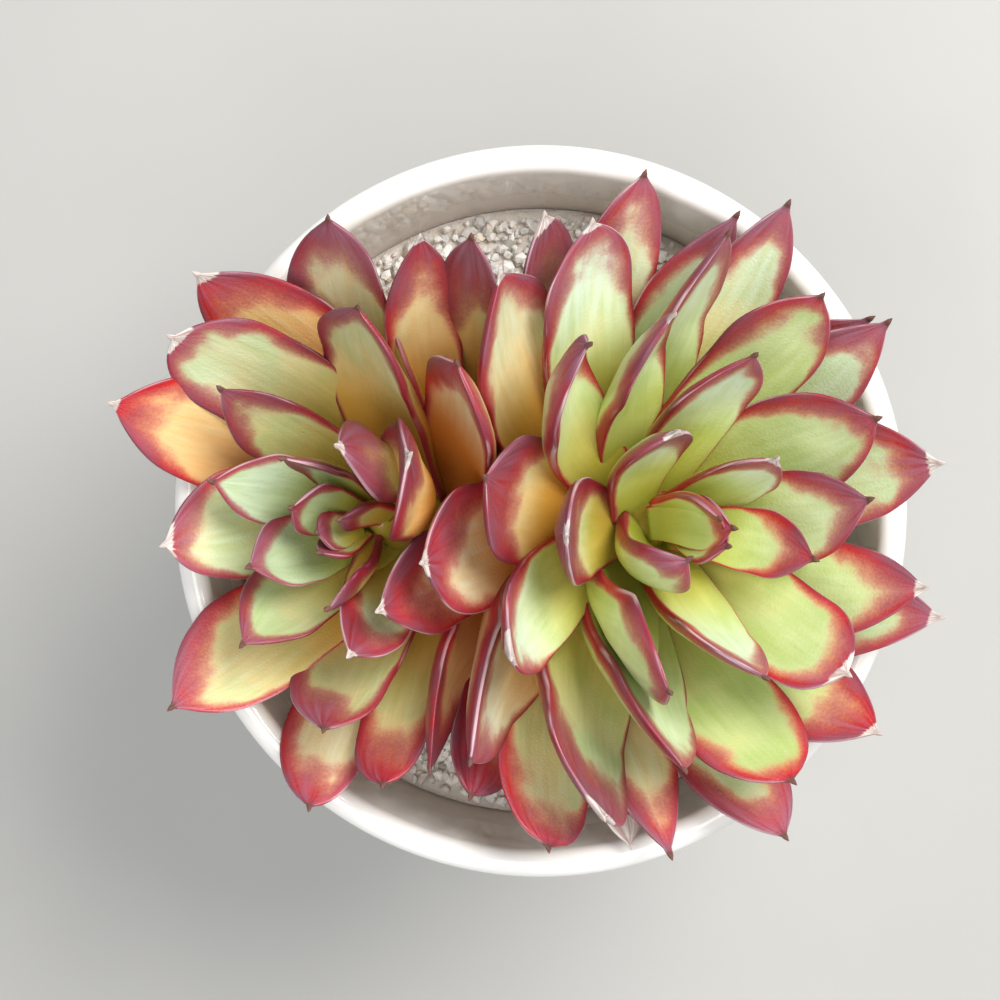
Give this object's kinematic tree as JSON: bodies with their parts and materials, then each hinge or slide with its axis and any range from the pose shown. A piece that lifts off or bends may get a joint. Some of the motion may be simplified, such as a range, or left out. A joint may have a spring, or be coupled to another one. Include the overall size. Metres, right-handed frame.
{
  "type": "potted crimson flame echeveria",
  "caption": "Rosette succulent with two leaning heads of thick, pointed, crimson-edged leaves, rooted in gritted soil in a tapered white glazed pot.",
  "frame": {"origin": "centre of the pot's underside, on the plane it stands on", "axes": "+Z up, +X toward the right head (right in the picture), +Y up in the picture, which looks straight down"},
  "size_m": [0.109, 0.1, 0.1201],
  "materials": {
    "glaze": "glossy white glaze",
    "soil": "matte damp soil",
    "grit": "matte pale grains",
    "right_leaves": "satin fleshy leaf, green with crimson margins",
    "left_leaves": "satin fleshy leaf, yellow-green with crimson margins"
  },
  "bodies": {
    "root": {"pot": "glaze", "potting_mix": "soil", "top_grit": "grit", "right_head": "right_leaves", "left_head": "left_leaves"}
  },
  "joints": []
}
